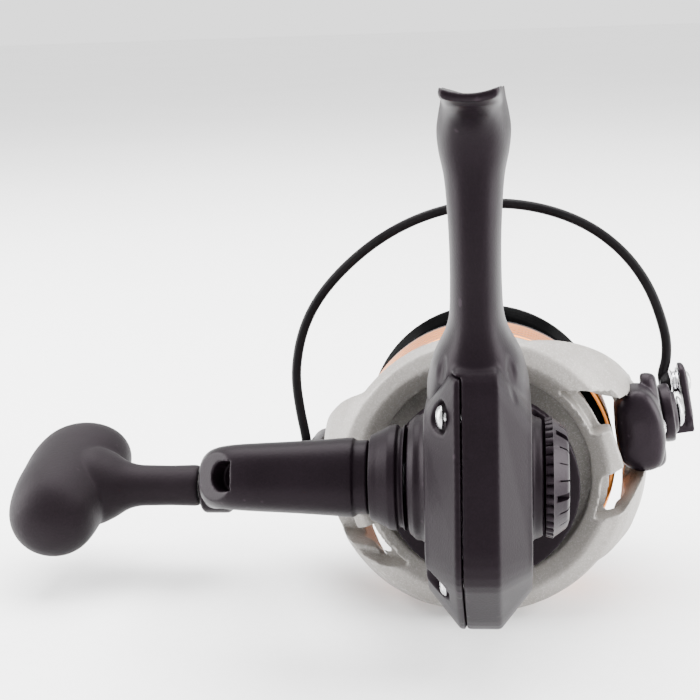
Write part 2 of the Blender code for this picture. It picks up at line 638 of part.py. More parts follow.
def bail_path():
    """The wire's loop in the bail frame, from the roller's cone over to the left pivot."""
    knots = ((5.6, 42.1, 9.0), (9.0, 42.5, 9.0), (13.0, 44.3, 9.2), (18.0, 46.0, 9.6),
             (24.0, 47.4, 10.2), (35.0, 49.8, 11.4), (46.0, 51.4, 12.6), (58.0, 52.1, 13.5),
             (76.0, 51.9, 14.0), (96.0, 50.9, 14.0), (118.0, 49.6, 13.0), (138.0, 48.9, 11.0),
             (154.0, 47.3, 8.6), (166.0, 44.9, 6.4), (173.0, 42.8, 4.9), (177.0, 41.7, 4.1),
             (180.0, 41.5, 4.0), (182.8, 41.55, 4.0))
    path = []
    for i in range(len(knots) - 1):
        before, first, second, after = (knots[max(i - 1, 0)], knots[i], knots[i + 1],
                                        knots[min(i + 2, len(knots) - 1)])
        steps = max(1, round((second[0] - first[0]) / 7.0))
        for k in range(steps):
            w = k / steps
            path.append([0.5 * (2 * q + (r - p) * w + (2 * p - 5 * q + 4 * r - t) * w * w
                                + (3 * q - p - 3 * r + t) * w ** 3)
                         for p, q, r, t in zip(before, first, second, after)])
    path.append(knots[-1])
    return [(r * math.cos(math.radians(a)), y, r * math.sin(math.radians(a))) for a, r, y in path]


def build_bail(bail, roller):
    ry, rz = ROLLER
    arm = plate("bail_arm", bail, "dark_plastic",
                arc((0, 0), 6.5, 60, 300, 14) + [(7.2, -5.4), (7.2, -1.0)], "X", 39.8, 42.0)
    unite(arm, rod("pivot_hub", bail, None, "X", 4.6, 41.0, 43.2, sides=24),
          block("bridge", bail, None, (39.8, 2.6, -5.9), (46.9, 7.8, -2.6)),
          plate("ear", bail, None,
                arc((ry, rz), 4.4, -70, 130, 10) + arc((4.9, -3.3), 2.8, 190, 300, 5),
                "X", 45.4, 46.9))
    cut(arm, rod("hub_bore", bail, None, "X", 1.6, 38, 46, sides=16),
        rod("roller_bore", bail, None, "X", 1.3, 44, 49, (0, ry, rz), 12))
    foot = plate("bail_foot", bail, "dark_plastic",
                 arc((0, 0), 5.4, 100, 270, 10) + arc((4.4, -1.0), 3.4, -70, 100, 8), "X", -42.0, -39.8)
    unite(foot, rod("foot_hub", bail, None, "X", 4.2, -43.2, -41.0, sides=24),
          block("knuckle", bail, None, (-43.4, 1.9, -3.4), (-39.9, 6.1, 2.0)))
    cut(foot, rod("foot_bore", bail, None, "X", 1.6, -46, -38, sides=16),
        rod("wire_socket", bail, None, "Z", 1.5, -2.4, 6.0, (-41.5, 4.0, 0), 12))
    screw_part("roller_screw", bail, "X", 2.2, (47.1, 48.0), 1.0, 41.6, (0, ry, rz))
    turned("line_roller", roller, "chrome", "X",
           [(3.5, 45.1), (3.3, 44.8), (2.6, 44.5), (2.6, 44.1), (3.3, 43.7), (3.5, 43.5),
            (1.3, 43.5), (1.3, 45.1)], 24)
    wire = swept("bail_wire", bail, "black_anodised", bail_path(), 1.15)
    unite(wire, turned("wire_cone", bail, None, "X",
                       [(0, 43.2), (3.3, 43.2), (3.0, 42.5), (1.9, 41.2), (0, 40.9)], 20, (0, ry, rz)))
    cut(wire, rod("cone_bore", bail, None, "X", 1.3, 41.4, 46, (0, ry, rz), 12))


# ---------------------------------------------------------------- spool and drag

def build_spool(spool):
    turned("spool", spool, "black_anodised", "Y",
           [(15.4, 49.4), (23.6, 49.9), (26.4, 49.5), (SPOOL_LIP_R, 48.6), (SPOOL_LIP_R, 47.6),
            (25.6, 46.0), (19.4, 44.4), (19.4, 30.8), (27.4, 29.8), (28.2, 29.2),
            (28.2, 27.4), (18.0, 27.4), (18.0, 36.0), (7.0, 36.0), (7.0, 28.4), (4.2, 28.4),
            (4.2, 37.8), (13.6, 37.8), (13.6, 46.8), (15.4, 46.8)], 36)
    turned("spool_skirt", spool, "gold_anodised", "Y",
           [(SKIRT_R - 0.4, 27.1), (SKIRT_R, 26.7), (SKIRT_R, 24.9), (SKIRT_R - 0.4, 24.4),
            (SKIRT_R, 23.9), (SKIRT_R, 22.3), (SKIRT_R - 0.4, 21.8), (SKIRT_R, 21.3),
            (SKIRT_R, 19.7), (SKIRT_R - 0.4, 19.2), (SKIRT_R, 18.7), (SKIRT_R, 15.6),
            (SKIRT_R - 0.4, 15.2), (SKIRT_R - 1.1, 15.2), (SKIRT_R - 1.1, 27.1)], 36)
    ring("spool_bearing", spool, "steel", "Y", 3.9, 2.8, 28.6, 32.0, sides=24)
    for i, low in enumerate((38.1, 40.5, 42.9)):
        ring(f"drag_washer_{i + 1}", spool, "carbon", "Y", 13.2, 2.8, low, low + 1.0)
    ring("drag_retainer", spool, "steel", "Y", 13.2, 10.4, 44.2, 44.9)
    clip = block("line_clip", spool, "dark_plastic", (-2.4, 19.0, 28.6), (2.4, 22.0, 29.9))
    rounded(clip, 0.5)


def build_drag_knob(knob):
    body = fluted("drag_knob", knob, "dark_plastic", "Y", 12,
                  [(50.3, 14.0, 0), (51.0, 15.8, 0.2), (52.2, 16.5, 1.1), (57.4, 16.5, 1.1),
                   (59.0, 15.6, 0.2), (60.4, 12.0, 0), (61.0, 8.8, 0)])
    unite(body, rod("knob_boss_inner", knob, None, "Y", 9.4, 45.4, 52.0, sides=24),
          block("finger_bar", knob, None, (-13.6, 57.0, -2.6), (13.6, 64.0, 2.6)))
    cut(body, rod("thread_bore", knob, None, "Y", 2.8, 40, 62.5, sides=24))


# ---------------------------------------------------------------- assembly

def build():
    foot = frame("foot_frame", None, turn=(-FOOT_TILT, 0, 0))
    shaft = frame("shaft_frame", None, (0, RIM_FORWARD, -SHAFT_DROP))
    drive = frame("drive_frame", shaft, (0, HANDLE_Y, HANDLE_Z))
    crank = frame("crank_frame", drive, turn=(CRANK_ANGLE, 0, 0))
    knob = frame("knob_frame", crank, (0, CRANK_RADIUS, 0), (KNOB_ANGLE, 0, 0))
    idler = frame("idler_frame", shaft, (0, *OSCILLATION))
    rotor = frame("rotor_frame", shaft, turn=(0, -ROTOR_REST, 0))
    bail = frame("bail_frame", rotor, (0, BAIL_Y, 0))
    build_frame(shaft, drive, foot)
    build_cover(shaft, drive)
    build_right_cap(drive)
    build_fixed_insides(shaft, drive)
    build_drive_train(drive)
    build_handle(drive, crank)
    build_knob(knob)
    build_oscillation(drive, idler, shaft)
    build_shaft(shaft)
    build_pinion(rotor)
    build_rotor(rotor)
    build_rotor_fittings(rotor)
    roller = frame("roller_frame", bail, (0, *ROLLER))
    build_bail(bail, roller)
    build_spool(shaft)
    build_drag_knob(shaft)


clear_scene()
PARTS = new_collection("spinning_reel")
GUIDES = new_collection("cutters")
build()
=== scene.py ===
"""Looks of the spinning reel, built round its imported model. Lengths in the code are millimetres in
the frames of the moving bodies; the place matrices turn them into metres in the shared frame."""
import math

import bmesh
import bpy
from mathutils import Matrix, Vector


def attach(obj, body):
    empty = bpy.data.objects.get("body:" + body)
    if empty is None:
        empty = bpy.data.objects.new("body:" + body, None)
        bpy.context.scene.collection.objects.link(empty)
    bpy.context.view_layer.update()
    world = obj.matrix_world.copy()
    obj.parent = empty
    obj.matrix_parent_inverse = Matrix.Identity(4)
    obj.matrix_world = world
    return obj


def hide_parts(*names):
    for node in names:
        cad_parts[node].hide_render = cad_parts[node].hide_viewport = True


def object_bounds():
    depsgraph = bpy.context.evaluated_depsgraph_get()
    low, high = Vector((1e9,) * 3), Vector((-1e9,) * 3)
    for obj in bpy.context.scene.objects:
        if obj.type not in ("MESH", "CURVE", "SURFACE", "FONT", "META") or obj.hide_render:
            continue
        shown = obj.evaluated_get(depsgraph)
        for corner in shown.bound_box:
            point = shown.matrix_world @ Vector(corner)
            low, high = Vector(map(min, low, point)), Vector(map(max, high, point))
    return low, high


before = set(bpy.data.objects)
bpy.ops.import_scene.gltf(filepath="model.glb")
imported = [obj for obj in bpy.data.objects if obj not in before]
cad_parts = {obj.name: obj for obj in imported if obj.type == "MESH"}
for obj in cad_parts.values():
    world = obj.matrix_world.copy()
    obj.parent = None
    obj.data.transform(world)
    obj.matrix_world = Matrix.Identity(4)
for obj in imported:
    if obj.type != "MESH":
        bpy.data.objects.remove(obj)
CAD_BOX = [list(corner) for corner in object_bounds()]

# ---------------------------------------------------------------- frames of the bodies


def shift(x, y, z):
    return Matrix.Translation((x, y, z))


def turn(degrees, axis):
    return Matrix.Rotation(math.radians(degrees), 4, axis)


SHAFT_ORIGIN = (0, 0.028, -0.081)   # metres: on the shaft's axis, at the rotor's rear rim
DRIVE_AXIS = (0, -21, 7.8)          # the handle's axis, along X, from the shaft's origin
CRANK_TILT = -20.2                  # tilts are in degrees
CRANK_REACH = 50                    # from the drive's axis to the knob's
KNOB_TILT = 38.2
ROTOR_TILT = -8
PIVOT = (0, 32, 0)                  # the bail's axis on the rotor, along X
HOOD_SCREW = (0, 21.5, 0)           # the screw of each arm's hood, along X
ROLLER = (9.0, 4.2)                 # the line roller's axis from the bail's (Y, Z)
FOOT_TILT = -3.6

MM = Matrix.Scale(0.001, 4)
SHAFT = shift(*SHAFT_ORIGIN) @ MM
DRIVE = SHAFT @ shift(*DRIVE_AXIS)
CRANK = DRIVE @ turn(CRANK_TILT, "X")
KNOB = CRANK @ shift(0, CRANK_REACH, 0) @ turn(KNOB_TILT, "X")
ROTOR = SHAFT @ turn(ROTOR_TILT, "Y")
BAIL = ROTOR @ shift(*PIVOT)
FOOT = turn(FOOT_TILT, "X") @ MM

# ---------------------------------------------------------------- shared sizes

SEAM = -2.65                        # X of the joint between frame and side cover
SEAM_GAP = 0.06                     # on each side of the seam
HOLLOW = (0.92, 1.6)                # the housing's inside: its scale, and the flanks' wall
HOUSING_MIDDLE = (-24, 6)           # Y and Z that the outlines shrink to
COVER_TOP, COVER_FRONT = 32.7, -4.9     # the side cover's upper edge (Z) and front edge (Y)
ROOM_LOW, ROOM_HIGH = (-14, -60, -30), (14, 5, 45)      # a block round the whole housing
BLANK_RADIUS = 12.0                 # the fishing rod that the foot's saddle fits
SPINE_OUTLINE = ((-42.5, 34.5), (-50.0, -2.1), (-33.0, -18.6), (-24.0, -21.8),
                 (-9.0, -20.5), (-3.0, -14.0), (-3.0, 26.0), (-10.0, 34.5))
SIDE_OUTLINE = ((-36.5, 25.0), (-41.0, -3.0), (-30.0, -12.5), (-24.0, -14.0),
                (-11.0, -13.5), (-4.0, -9.0), (-4.0, 20.0), (-12.0, 25.0))
COVER_SCREWS = {"upper_rear": (-40.5, 25.3), "lower_rear": (-38.8, -6.8),
                "upper_front": (-9.0, 25.5), "lower_front": (-9.5, -9.5)}

# ---------------------------------------------------------------- materials


class Look:
    """A procedural finish: two tones mottled by noise, a fine grain in the bump (depth in
    millimetres), a painted highlight on sharp edges, and where asked metal flakes or turning marks."""

    def __init__(self, name, tones, metallic, rough, grain, depth, patches=90, edge=None,
                 flake=None, specular=0.5, tint=(1.0, 1.0, 1.0), sheen=0.0, lathe=None):
        self.material = bpy.data.materials.new(name)
        self.material.use_nodes = True
        self.tree = self.material.node_tree
        self.shader = self.tree.nodes["Principled BSDF"]
        self.shader.inputs["Metallic"].default_value = metallic
        self.shader.inputs["Specular IOR Level"].default_value = specular
        self.shader.inputs["Specular Tint"].default_value = (*tint, 1)
        self.shader.inputs["Sheen Weight"].default_value = sheen
        self.place = self.add("ShaderNodeTexCoord").outputs["Object"]
        patch = self.noise(patches, 4)
        fine = self.noise(grain, 3)
        both = self.blend(0.45, patch, fine)
        colour = self.ramp(both, ((0.36, tones[0]), (0.64, tones[1])))
        if flake:
            scale, bright = flake
            cells = self.add("ShaderNodeTexVoronoi")
            cells.inputs["Scale"].default_value = scale
            self.link(self.place, cells.inputs["Vector"])
            spark = self.ramp(cells.outputs["Color"], ((0.62, (0, 0, 0)), (0.80, (1, 1, 1))))
            colour = self.mixed(spark, colour, bright)
        # edge is the colour of a painted highlight, laid on sharp convex edges through pointiness
        if edge:
            highlight_pointiness = self.add("ShaderNodeNewGeometry").outputs["Pointiness"]
            mask = self.ramp(highlight_pointiness, ((0.53, (0, 0, 0)), (0.64, (1, 1, 1))))
            colour = self.mixed(mask, colour, edge)
        self.link(colour, self.shader.inputs["Base Color"])
        spread = self.add("ShaderNodeMapRange")
        spread.inputs["To Min"].default_value = rough[0]
        spread.inputs["To Max"].default_value = rough[1]
        self.link(both, spread.inputs["Value"])
        self.link(spread.outputs["Result"], self.shader.inputs["Roughness"])
        height = fine
        if lathe:
            height = self.blend(0.6, fine, self.rings(*lathe))
        bump = self.add("ShaderNodeBump")
        bump.inputs["Strength"].default_value = 1.0
        bump.inputs["Distance"].default_value = depth * 0.001
        self.link(height, bump.inputs["Height"])
        self.link(bump.outputs["Normal"], self.shader.inputs["Normal"])

    def add(self, kind):
        return self.tree.nodes.new(kind)

    def link(self, source, target):
        self.tree.links.new(source, target)

    def noise(self, scale, detail):
        node = self.add("ShaderNodeTexNoise")
        node.inputs["Scale"].default_value = scale
        node.inputs["Detail"].default_value = detail
        self.link(self.place, node.inputs["Vector"])
        return node.outputs["Fac"]

    def rings(self, direction, scale):
        """Turning marks round an axis: bands along one direction, broken up a little."""
        node = self.add("ShaderNodeTexWave")
        node.bands_direction = direction
        node.inputs["Scale"].default_value = scale
        node.inputs["Distortion"].default_value = 1.2
        self.link(self.place, node.inputs["Vector"])
        return node.outputs["Fac"]

    def blend(self, share, first, second):
        node = self.add("ShaderNodeMix")
        node.inputs["Factor"].default_value = share
        self.link(first, node.inputs["A"])
        self.link(second, node.inputs["B"])
        return node.outputs["Result"]

    def ramp(self, value, stops):
        node = self.add("ShaderNodeValToRGB")
        for element, (position, colour) in zip(node.color_ramp.elements, stops):
            element.position = position
            element.color = (*colour, 1)
        self.link(value, node.inputs["Fac"])
        return node.outputs["Color"]

    def mixed(self, mask, base, colour):
        node = self.add("ShaderNodeMix")
        node.data_type = "RGBA"
        self.link(mask, node.inputs[0])
        self.link(base, node.inputs[6])
        node.inputs[7].default_value = (*colour, 1)
        return node.outputs[2]


PLUM = (1.0, 0.86, 0.95)
# Each edge colour below is a painted highlight on the finish's sharp edges.
LOOKS = {
    "charcoal_paint": Look("charcoal_paint", ((0.0026, 0.0014, 0.0023), (0.0046, 0.0028, 0.0042)),
                           0.0, (0.34, 0.48), 2600, 0.03, edge=(0.012, 0.008, 0.011),
                           specular=0.075, tint=PLUM),
    "soft_touch": Look("soft_touch", ((0.0026, 0.0014, 0.0022), (0.0048, 0.0030, 0.0042)), 0.0,
                       (0.50, 0.64), 1900, 0.05, edge=(0.009, 0.006, 0.008), specular=0.10,
                       tint=PLUM, sheen=0.02),
    "silver_paint": Look("silver_paint", ((0.200, 0.186, 0.172), (0.255, 0.240, 0.224)), 0.30,
                         (0.42, 0.56), 1700, 0.05, edge=(0.36, 0.345, 0.325), specular=0.3,
                         flake=(4200, (0.285, 0.272, 0.257))),
    "gold_anodised": Look("gold_anodised", ((0.66, 0.205, 0.040), (0.78, 0.265, 0.060)), 1.0,
                          (0.26, 0.40), 1200, 0.012, edge=(0.90, 0.40, 0.12),
                          lathe=("Y", 900)),
    "black_anodised": Look("black_anodised", ((0.0008, 0.0008, 0.0009), (0.0016, 0.0015, 0.0018)),
                           0.0, (0.20, 0.32), 1400, 0.008, edge=(0.006, 0.005, 0.006),
                           specular=0.03, lathe=("Y", 700)),
    "dark_plastic": Look("dark_plastic", ((0.0048, 0.0030, 0.0045), (0.0076, 0.0050, 0.0072)), 0.0,
                         (0.28, 0.42), 2400, 0.03, edge=(0.018, 0.013, 0.017), specular=0.11,
                         tint=PLUM),
    "steel": Look("steel", ((0.36, 0.36, 0.37), (0.50, 0.50, 0.51)), 1.0, (0.18, 0.36), 2100, 0.01,
                  edge=(0.70, 0.70, 0.71)),
    "chrome": Look("chrome", ((0.60, 0.60, 0.61), (0.74, 0.74, 0.75)), 1.0, (0.04, 0.12), 900,
                   0.003, lathe=("X", 800)),
    "brass": Look("brass", ((0.46, 0.30, 0.10), (0.60, 0.43, 0.18)), 1.0, (0.22, 0.38), 1600, 0.01),
    "zinc": Look("zinc", ((0.24, 0.24, 0.25), (0.34, 0.34, 0.35)), 0.9, (0.36, 0.54), 1300, 0.03),
    "white_resin": Look("white_resin", ((0.36, 0.35, 0.31), (0.46, 0.45, 0.42)), 0.0, (0.38, 0.55),
                        1500, 0.02),
    "carbon": Look("carbon", ((0.007, 0.007, 0.008), (0.016, 0.016, 0.017)), 0.0, (0.45, 0.70),
                   1700, 0.05, lathe=("X", 500)),
}
# Its edge colour is a painted highlight on sharp edges.
WIRE_LOOK = Look("wire_lacquer", ((0.0035, 0.0030, 0.0035), (0.0065, 0.0058, 0.0065)), 0.0,
                 (0.26, 0.38), 1500, 0.006, edge=(0.010, 0.009, 0.010), specular=0.05)

# ---------------------------------------------------------------- shapes


def added(name, data):
    """A new object in the scene, holding the data."""
    item = bpy.data.objects.new(name, data)
    bpy.context.scene.collection.objects.link(item)
    return item


def from_bmesh(name, work):
    mesh = bpy.data.meshes.new(name)
    work.to_mesh(mesh)
    work.free()
    return added(name, mesh)


def solid(name, rows, close_rows=False):
    """A closed skin through rows of points in metres. A row of one point is a pole."""
    work = bmesh.new()
    made = [[work.verts.new(point) for point in row] for row in rows]
    if close_rows:
        made.append(made[0])
    for lower, upper in zip(made, made[1:]):
        count = max(len(lower), len(upper))
        for i in range(count):
            j = (i + 1) % count
            if len(lower) == 1:
                work.faces.new((lower[0], upper[j], upper[i]))
            elif len(upper) == 1:
                work.faces.new((lower[i], lower[j], upper[0]))
            else:
                work.faces.new((lower[i], lower[j], upper[j], upper[i]))
    if not close_rows:
        for row in (made[0], made[-1]):
            if len(row) > 1:
                work.faces.new(row)
    bmesh.ops.recalc_face_normals(work, faces=work.faces)
    item = from_bmesh(name, work)
    item.data.shade_smooth()
    return item


def filleted(points, radius, closed, steps=4):
    """The polyline with each corner rounded. An open one keeps its ends."""
    if radius <= 0:
        return list(points)
    result = []
    count = len(points)
    for i, here in enumerate(points):
        if not closed and i in (0, count - 1):
            result.append(here)
            continue
        here = Vector(here)
        before, after = Vector(points[i - 1]), Vector(points[(i + 1) % count])
        reach = [min(radius / (here - other).length, 0.45) for other in (before, after)]
        start, end = here.lerp(before, reach[0]), here.lerp(after, reach[1])
        for k in range(steps + 1):
            w = k / steps
            result.append(tuple(start * (1 - w) ** 2 + here * (2 * w * (1 - w)) + end * w * w))
    return result


def turned(name, place, axis, profile, fillet=0.2, sides=96, centre=(0, 0, 0)):
    """A profile of (radius, station) turned about an axis. One that starts off it is a ring."""
    ring = profile[0][0] > 0
    rows = []
    for r, h in filleted(profile, fillet, ring):
        row = []
        for i in range(sides if r > 1e-6 else 1):
            u, v = r * math.cos(math.tau * i / sides), r * math.sin(math.tau * i / sides)
            spot = {"X": (h, u, v), "Y": (v, h, u), "Z": (u, v, h)}[axis]
            row.append(place @ (Vector(spot) + Vector(centre)))
        rows.append(row)
    return solid(name, rows, ring)


def rod(name, place, axis, radius, low, high, centre=(0, 0, 0), sides=64, fillet=0.0):
    return turned(name, place, axis, [(0, high), (radius, high), (radius, low), (0, low)], fillet,
                  sides, centre)


def lofted(name, place, outline, axis, stations, fillet):
    """An outline carried along an axis, drawn in by each station's inset. The outline is (Y, Z) on
    axis X, (X, Z) on axis Y and (X, Y) on axis Z."""
    points = filleted(outline, fillet, True)
    centre = Vector((sum(p[0] for p in points), sum(p[1] for p in points))) / len(points)
    size = max((Vector(p) - centre).length for p in points)
    rows = []
    for w, inset in stations:
        scale = max(0.02, 1 - inset / size)
        row = []
        for point in points:
            u, v = centre + (Vector(point) - centre) * scale
            row.append(place @ Vector({"X": (w, u, v), "Y": (u, w, v), "Z": (u, v, w)}[axis]))
        rows.append(row)
    return solid(name, rows)


def plate(name, place, outline, axis, low, high, fillet=0.6, edge=0.35, steps=5):
    """A flat outline with a thickness and rounded edges."""
    turns = [math.pi / 2 * k / steps for k in range(steps + 1)]
    levels = [(low + edge * (1 - math.cos(a)), edge * (1 - math.sin(a))) for a in turns]
    levels += [(high + low - w, inset) for w, inset in reversed(levels)]
    return lofted(name, place, outline, axis, levels, fillet)


def box(name, place, low, high):
    """A block between two corners. It only serves as a cutter."""
    corners = [(low[0], low[1]), (high[0], low[1]), (high[0], high[1]), (low[0], high[1])]
    return solid(name, [[place @ Vector((x, y, z)) for x, y in corners] for z in (low[2], high[2])])


def dense(stations, steps):
    """Stations with a smooth run of others between them (Catmull-Rom)."""
    result = []
    last = len(stations) - 1
    for i in range(last):
        p, q, r, t = (stations[max(i - 1, 0)], stations[i], stations[i + 1],
                      stations[min(i + 2, last)])
        for k in range(steps):
            w = k / steps
            result.append([0.5 * (2 * b + (c - a) * w + (2 * a - 5 * b + 4 * c - d) * w * w
                                  + (3 * b - a - 3 * c + d) * w ** 3)
                           for a, b, c, d in zip(p, q, r, t)])
    result.append(list(stations[last]))
    return result


def domed(name, place, outline, axis, stations, fillet):
    """An outline that closes in as it rises: stations are (place along the axis, inset)."""
    return lofted(name, place, outline, axis, dense(stations, 4), fillet)


def superellipse(half_u, half_v, power, count=64):
    points = []
    for i in range(count):
        c, s = math.cos(math.tau * i / count), math.sin(math.tau * i / count)
        points.append((half_u * math.copysign(abs(c) ** (2 / power), c),
                       half_v * math.copysign(abs(s) ** (2 / power), s)))
    return points


def arc(centre, radius, first, last, count=24):
    angles = [math.radians(first + (last - first) * i / (count - 1)) for i in range(count)]
    return [(centre[0] + radius * math.cos(a), centre[1] + radius * math.sin(a)) for a in angles]


# ---------------------------------------------------------------- joining and carving


def settled(item):
    """The item's mesh with its modifiers applied."""
    bpy.context.view_layer.update()
    view = item.evaluated_get(bpy.context.evaluated_depsgraph_get())
    mesh = bpy.data.meshes.new_from_object(view)
    item.modifiers.clear()
    item.data = mesh
    return item


def joined(name, items):
    work = bmesh.new()
    for item in items:
        work.from_mesh(item.data)
        bpy.data.objects.remove(item)
    return from_bmesh(name, work)


def combined(item, operation, others, solver="EXACT"):
    for other in others:
        modifier = item.modifiers.new("cut", "BOOLEAN")
        modifier.operation = operation
        modifier.solver = solver
        modifier.object = other
    settled(item)
    for other in others:
        bpy.data.objects.remove(other)
    return item


def carved(item, *cutters):
    return combined(item, "DIFFERENCE", cutters)


def remeshed(item, voxel):
    modifier = item.modifiers.new("skin", "REMESH")
    modifier.mode = "VOXEL"
    modifier.voxel_size = voxel * 0.001
    return settled(item)


def fused(name, items, voxel, steps, cutters=()):
    """Overlapping solids as one moulded body: its seams and edges soften as a casting's do.
    voxel is the mesh's grain in millimetres, steps the passes of smoothing."""
    body = remeshed(joined(name, items), voxel)
    if cutters:
        combined(body, "DIFFERENCE", list(cutters), "MANIFOLD")
        remeshed(body, voxel)
    modifier = body.modifiers.new("soften", "SMOOTH")
    modifier.factor = 0.5
    modifier.iterations = steps
    settled(body)
    body.data.shade_smooth()
    return body


def sharp_smooth(item, angle=40):
    item.data.shade_smooth()
    item.data.set_sharp_from_angle(angle=math.radians(angle))
    return item


def show(item, slot, body, *nodes, look=None):
    """A finished piece: its material, the body it rides on and the CAD nodes it stands for."""
    item.data.materials.clear()
    item.data.materials.append((look or LOOKS[slot]).material)
    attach(item, body)
    if nodes:
        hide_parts(*nodes)
    return item


# ---------------------------------------------------------------- housing and foot


def housing(name, scale=1.0, trim=0.0):
    """The shell's body: a spine band, slanted flanks, and rounded corners."""
    spine = filleted(SPINE_OUTLINE, 4.5, True)
    side = filleted(SIDE_OUTLINE, 4.0, True)
    middle_y, middle_z = HOUSING_MIDDLE
    rows = []
    # X, share of the way from the spine's outline to the side's, shrink of the outline
    for x, share, shrink in ((-9.8 + trim, 1.0, 0.97), (-9.3 + trim, 1.0, 1.0), (-3.8, 0.0, 1.0),
                             (3.8, 0.0, 1.0), (9.3 - trim, 1.0, 1.0), (9.8 - trim, 1.0, 0.97)):
        row = []
        for (y0, z0), (y1, z1) in zip(spine, side):
            y, z = y0 + (y1 - y0) * share, z0 + (z1 - z0) * share
            k = scale * shrink
            row.append(SHAFT @ Vector((x, middle_y + (y - middle_y) * k,
                                       middle_z + (z - middle_z) * k)))
        rows.append(row)
    return solid(name, rows)


def stem():
    """From the shoulder of the housing up to the foot's saddle, which cuts it off."""
    # height, centre (Y), half width (X), half depth (Y)
    stations = ((25.5, -24.5, 9.6, 12.4), (28.5, -25.0, 9.4, 13.4), (31.0, -25.5, 8.9, 14.2),
                (33.3, -26.0, 8.2, 14.4), (35.5, -26.6, 7.2, 13.4), (38.0, -27.8, 6.0, 11.8),
                (41.5, -29.0, 5.0, 10.4), (47.0, -30.0, 4.7, 9.4),
                (54.0, -30.8, 4.65, 8.9), (61.0, -31.0, 4.9, 8.9), (67.0, -30.4, 5.4, 9.6),
                (71.5, -29.6, 6.3, 10.9), (75.0, -28.8, 6.6, 13.0), (78.0, -28.2, 6.2, 16.8),
                (80.4, -28.0, 5.7, 22.0), (83.0, -28.0, 5.4, 25.0))
    rows = [[SHAFT @ Vector((u, centre + v, height)) for u, v in superellipse(half_x, half_y, 2.5)]
            for height, centre, half_x, half_y in dense(stations, 6)]
    return solid("stem", rows)


def foot():
    """A long leaf with a hollow top that lies along the fishing rod."""
    # station, half width, thickness
    stations = ((-32.0, 4.4, 1.2), (-31.0, 4.8, 1.4), (-28.5, 5.0, 1.6), (-20.0, 5.1, 2.2),
                (-12.0, 5.3, 3.6), (0.0, 5.4, 5.0), (12.0, 5.3, 3.4), (20.0, 5.1, 2.2),
                (28.5, 4.8, 1.5), (31.0, 4.4, 1.3), (32.0, 3.7, 1.1))
    spare, lip, steps = 0.15, 0.8, 24
    rows = []
    for y, half, thick in dense(stations, 5):
        top = BLANK_RADIUS - math.sqrt(BLANK_RADIUS ** 2 - half * half) + spare
        rim = top - lip
        row = [(half, y, top)]
        for i in range(steps + 1):
            a = math.pi * i / steps
            row.append((half * math.cos(a), y, rim - (thick + rim) * math.sin(a) ** 0.5))
        row.append((-half, y, top))
        rows.append([FOOT @ Vector(point) for point in row])
    return solid("foot", rows)


def scoop(side):
    """A leaf-shaped hollow where the stem meets the shoulder."""
    levels, sides = 24, 32
    middle_z, half_high, half_wide, half_deep = 33.5, 8.5, 1.9, 7.0
    rows = []
    for i in range(levels + 1):
        a = math.pi * i / levels
        swell, z = math.sin(a), middle_z + half_high * math.cos(a)
        x, y = 6.7 - 0.16 * (z - middle_z), -42.4
        row = []
        for k in range(sides if 0 < i < levels else 1):
            b = math.tau * k / sides
            row.append(SHAFT @ Vector((side * (x + half_wide * swell * math.cos(b)),
                                       y + half_deep * swell * math.sin(b), z)))
        rows.append(row)
    return solid(f"scoop_{side}", rows)


def build_housing():
    """The frame: the right half of the shell, its stem, foot and boss, and the front flange."""
    shell = carved(housing("shell"), housing("hollow", *HOLLOW))
    half = carved(shell, box("cover_room", SHAFT, ROOM_LOW, (SEAM + SEAM_GAP, -3.9, 33)))
    body = fused("frame_housing",
                 [half, stem(), foot(),
                  turned("right_boss", DRIVE, "X", [(0, 12), (11.2, 12), (11.9, 10), (11.9, 8),
                                                    (13.4, 5), (0, 5)], 0.5),
                  rod("front_flange", SHAFT, "Y", 20.0, -4.3, -0.9),
                  rod("nose", SHAFT, "Y", 13.4, -2.0, 9.0)],
                 voxel=0.36, steps=5, cutters=[
                     turned("front_seat", SHAFT, "Y", [(0, 12), (10.8, 12), (10.8, 0.6),
                                                       (7.3, 0.6), (7.3, -9), (0, -9)], 0),
                     turned("right_seat", DRIVE, "X",
                            [(0, 14), (5.0, 14), (5.0, 11), (6.7, 11), (6.7, 5), (0, 5)], 0),
                     rod("rod_blank", FOOT, "Y", BLANK_RADIUS, -50, 50, (0, 0, BLANK_RADIUS), 128),
                     scoop(1), scoop(-1)])
    show(body, "charcoal_paint", "frame", "body_frame")


def build_cover():
    """The left half of the shell, with the drive's boss and the screws' posts and pockets."""
    shell = carved(housing("cover"), housing("cover_hollow", *HOLLOW))
    for word, low in (("frame_room", (SEAM - SEAM_GAP, *ROOM_LOW[1:])),
                      ("shoulder_room", (*ROOM_LOW[:2], COVER_TOP)),
                      ("flange_room", (ROOM_LOW[0], COVER_FRONT, ROOM_LOW[2]))):
        carved(shell, box(word, SHAFT, low, ROOM_HIGH))
    posts = [rod("seat_" + word, SHAFT, "X", 3.6, -8.2, -4.9, (0, y, z))
             for word, (y, z) in COVER_SCREWS.items()]
    posts = [combined(joined("seats", posts), "INTERSECT", [housing("clip")])]
    boss = turned("left_boss", DRIVE, "X", [(0, -7.6), (13.4, -7.6), (12.8, -10.4), (12.1, -10.8),
                                            (12.0, -12.4), (11.2, -12.7), (11.0, -13.5),
                                            (0, -13.5)], 0.4)
    cutters = [turned("pocket_" + word, SHAFT, "X",
                      [(0, -1), (1.3, -1), (1.3, -5.4), (2.9, -5.4), (2.9, -14), (0, -14)], 0,
                      48, (0, y, z)) for word, (y, z) in COVER_SCREWS.items()]
    cutters.append(turned("left_seat", DRIVE, "X",
                          [(0, -5), (6.7, -5), (6.7, -11.5), (4.6, -11.5), (4.6, -15), (0, -15)],
                          0))
    body = fused("cover_shell", [shell, boss, *posts], voxel=0.33, steps=4, cutters=cutters)
    show(body, "charcoal_paint", "frame", "side_cover")


